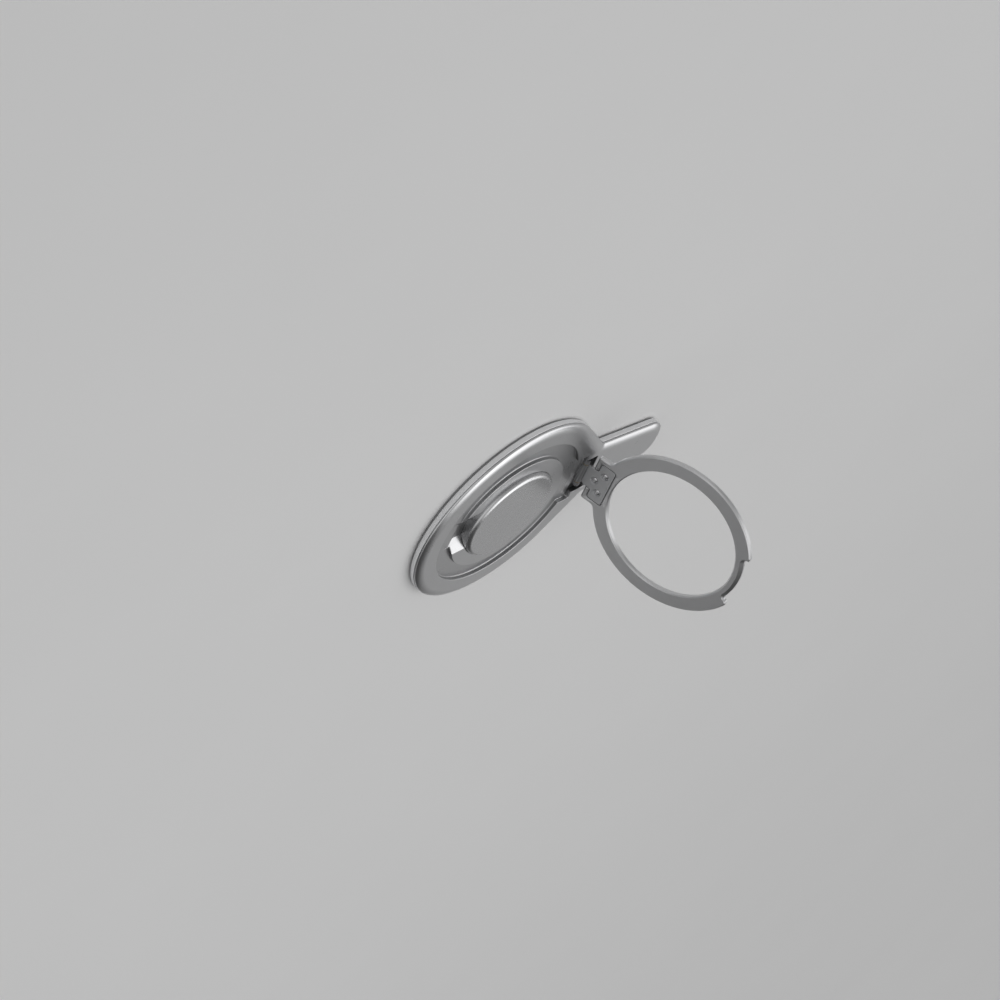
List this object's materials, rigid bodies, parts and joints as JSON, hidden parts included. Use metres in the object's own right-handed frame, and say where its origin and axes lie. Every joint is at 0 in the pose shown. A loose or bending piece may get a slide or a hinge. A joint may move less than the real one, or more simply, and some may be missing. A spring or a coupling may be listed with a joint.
{
  "type": "magnetic phone mount",
  "caption": "Round magnetic mount for the back of a phone, with a tab and a grip ring that folds out on a friction hinge.",
  "frame": {"origin": "centre of the round part of the magnet face, in the plane that touches the phone", "axes": "+Z out of the phone's back, +X from the centre towards the tab, +Y to complete the frame, along the hinge"},
  "size_m": [0.0785, 0.0538, 0.0458],
  "materials": {
    "shell_aluminium": "satin anodised, polished edges",
    "cap_aluminium": "satin anodised, polished rounded edge",
    "tray_aluminium": "satin anodised",
    "ring_aluminium": "fine bead-blasted and anodised, bright cut bevels",
    "leaf_steel": "satin",
    "rivet_steel": "bright, dished",
    "hinge_steel": "dull",
    "shaft_steel": "ground",
    "screw_steel": "black oxide",
    "washer": "spring bronze, dull",
    "yoke_steel": "zinc plated",
    "magnet": "nickel plated magnet",
    "pad": "matt, fine soft-touch",
    "adhesive": "translucent film"
  },
  "bodies": {
    "housing": {"top_shell": "shell_aluminium", "centre_cap": "cap_aluminium", "base_tray": "tray_aluminium", "face_pad": "pad", "pad_adhesive": "adhesive", "array_yoke": "yoke_steel", "tab_yoke": "yoke_steel", "array_magnet_1": "magnet", "array_magnet_2": "magnet", "array_magnet_3": "magnet", "array_magnet_4": "magnet", "array_magnet_5": "magnet", "array_magnet_6": "magnet", "array_magnet_7": "magnet", "array_magnet_8": "magnet", "array_magnet_9": "magnet", "array_magnet_10": "magnet", "array_magnet_11": "magnet", "array_magnet_12": "magnet", "array_magnet_13": "magnet", "array_magnet_14": "magnet", "array_magnet_15": "magnet", "array_magnet_16": "magnet", "tab_magnet_1": "magnet", "tab_magnet_2": "magnet", "hinge_bracket": "hinge_steel", "bracket_screws": "screw_steel", "hinge_shaft": "shaft_steel", "hinge_washer_left": "washer", "hinge_washer_right": "washer"},
    "ring": {"grip_ring": "ring_aluminium", "hinge_leaf": "leaf_steel", "leaf_rivets": "rivet_steel"}
  },
  "joints": [
    {"name": "ring_hinge", "type": "hinge", "parent": "housing", "child": "ring", "pos_m": [0.0255, 0, 0.00205], "axis": [0, 1, 0], "range_deg": [-104.3, 15]}
  ]
}
